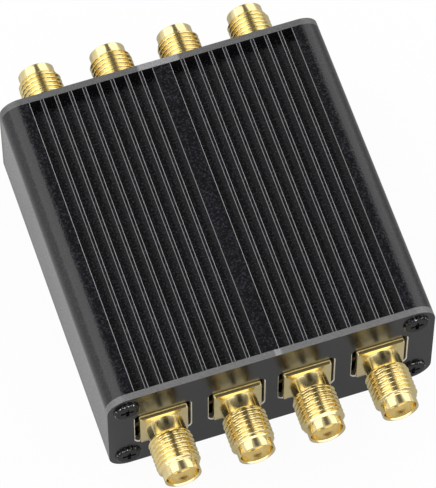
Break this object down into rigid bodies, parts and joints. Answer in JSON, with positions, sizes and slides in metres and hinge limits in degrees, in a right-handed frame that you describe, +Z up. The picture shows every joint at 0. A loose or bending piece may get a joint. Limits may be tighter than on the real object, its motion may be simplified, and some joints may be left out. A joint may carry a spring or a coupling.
{
  "type": "bandpass filter",
  "caption": "Flat finned aluminium bandpass filter box with screwed end plates and a row of gold-plated threaded coaxial jacks on both ends.",
  "frame": {"origin": "centre of the bounding box's base, on the underside of the tube", "axes": "+X right along a row of jacks as seen from the front, -Y out of the front jacks, +Z up through the fins"},
  "size_m": [0.048, 0.0684, 0.0197],
  "materials": {
    "black_anodised_tube": "black anodised, fine sand-blasted grain",
    "black_end_plate": "glossy black coat with bare cut edges",
    "black_screw": "black oxide",
    "gold_plated_brass": "polished gold plating",
    "gold_contact": "polished gold plating",
    "white_insulator": "waxy white fluoropolymer",
    "board_laminate": "green solder resist",
    "plated_ceramic": "matt silver plating on ceramic",
    "chip_capacitor": "fired ceramic",
    "chip_inductor": "fired ferrite"
  },
  "bodies": {
    "root": {"housing": "black_anodised_tube", "circuit_board": "board_laminate", "chip_capacitors": "chip_capacitor", "chip_inductors": "chip_inductor", "front_plate": "black_end_plate", "rear_plate": "black_end_plate", "front_plate_screws": "black_screw", "rear_plate_screws": "black_screw", "filter_block_1": "plated_ceramic", "filter_block_2": "plated_ceramic", "filter_block_3": "plated_ceramic", "filter_block_4": "plated_ceramic", "front_jack_shell_1": "gold_plated_brass", "front_jack_shell_2": "gold_plated_brass", "front_jack_shell_3": "gold_plated_brass", "front_jack_shell_4": "gold_plated_brass", "rear_jack_shell_1": "gold_plated_brass", "rear_jack_shell_2": "gold_plated_brass", "rear_jack_shell_3": "gold_plated_brass", "rear_jack_shell_4": "gold_plated_brass", "front_jack_insulator_1": "white_insulator", "front_jack_insulator_2": "white_insulator", "front_jack_insulator_3": "white_insulator", "front_jack_insulator_4": "white_insulator", "rear_jack_insulator_1": "white_insulator", "rear_jack_insulator_2": "white_insulator", "rear_jack_insulator_3": "white_insulator", "rear_jack_insulator_4": "white_insulator", "front_jack_contact_1": "gold_contact", "front_jack_contact_2": "gold_contact", "front_jack_contact_3": "gold_contact", "front_jack_contact_4": "gold_contact", "rear_jack_contact_1": "gold_contact", "rear_jack_contact_2": "gold_contact", "rear_jack_contact_3": "gold_contact", "rear_jack_contact_4": "gold_contact"}
  },
  "joints": []
}
